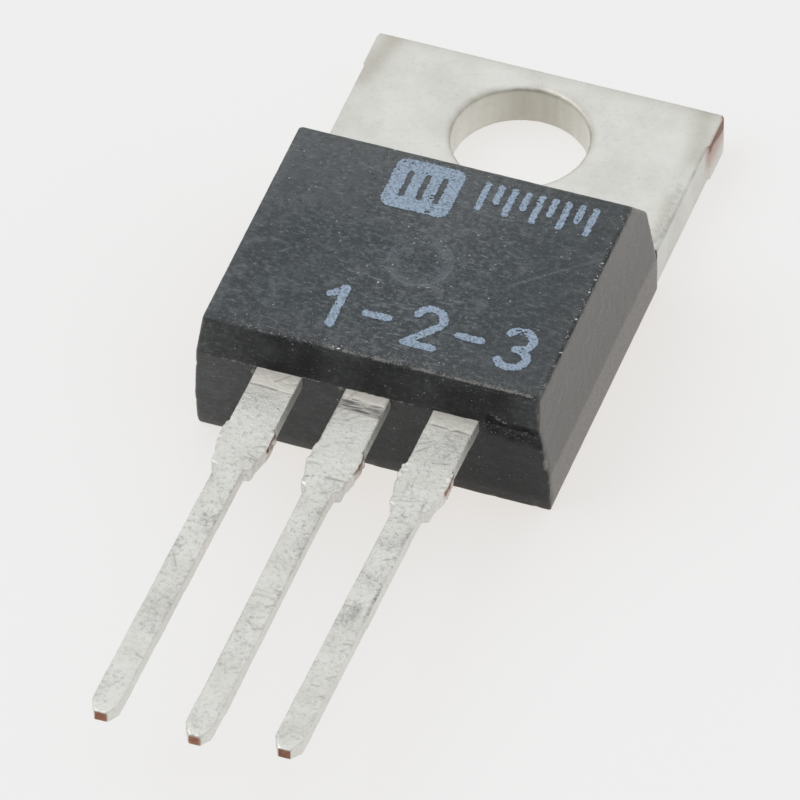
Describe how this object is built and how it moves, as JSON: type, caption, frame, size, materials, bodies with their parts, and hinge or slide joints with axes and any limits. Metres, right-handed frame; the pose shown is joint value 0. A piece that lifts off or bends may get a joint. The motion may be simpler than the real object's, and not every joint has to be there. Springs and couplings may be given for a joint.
{
  "type": "power transistor",
  "caption": "Plastic power transistor with a flat tinned metal tab with a mounting hole and a row of straight leads, lying on its back.",
  "frame": {"origin": "centre of the mounting hole, on the seating plane, which is the flat back of the tab", "axes": "+Z away from the seating plane, +Y to the free end of the tab, -Y along the leads, +X to the emitter lead"},
  "size_m": [0.0102, 0.0289, 0.0043],
  "materials": {
    "epoxy": "dry black moulded epoxy, fine dust on the edges",
    "tinned_header": "matte hot-dipped tin on copper, copper bare where sheared",
    "tinned_lead": "matte tin on copper, scratched, copper bare at the tips",
    "silicon": "polished grey silicon",
    "solder": "satin soft solder",
    "aluminium_wire": "bright drawn aluminium"
  },
  "bodies": {
    "root": {"moulded_body": "epoxy", "collector_header": "tinned_header", "base_lead": "tinned_lead", "emitter_lead": "tinned_lead", "silicon_die": "silicon", "die_attach_solder": "solder", "base_bond_wire": "aluminium_wire", "emitter_bond_wire": "aluminium_wire"}
  },
  "joints": []
}
